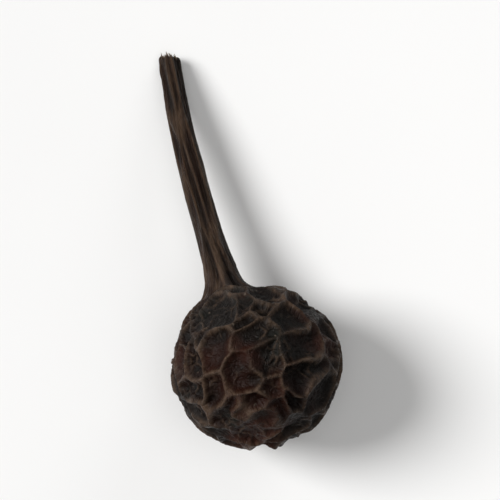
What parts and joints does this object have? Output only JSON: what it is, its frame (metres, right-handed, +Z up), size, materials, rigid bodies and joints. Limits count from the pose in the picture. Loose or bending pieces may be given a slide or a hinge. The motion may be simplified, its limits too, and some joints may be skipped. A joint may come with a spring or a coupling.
{
  "type": "cubeb pepper berry",
  "caption": "One dried cubeb pepper: a round berry with a raised net of wrinkles, drawn out at its base into a slender stalk with a broken end.",
  "frame": {"origin": "middle of the small flat spot that the berry rests on, straight below the berry's centre", "axes": "+X runs from the berry along its stalk, +Z is up from the surface it lies on, +Y is to the left of the stalk seen from the berry"},
  "size_m": [0.0127, 0.0053, 0.0051],
  "materials": {
    "dried_skin": "matt wrinkled dried fruit skin, dark brown to black, paler on the ridges and the stalk"
  },
  "bodies": {
    "root": {"cubeb_fruit": "dried_skin"}
  },
  "joints": []
}
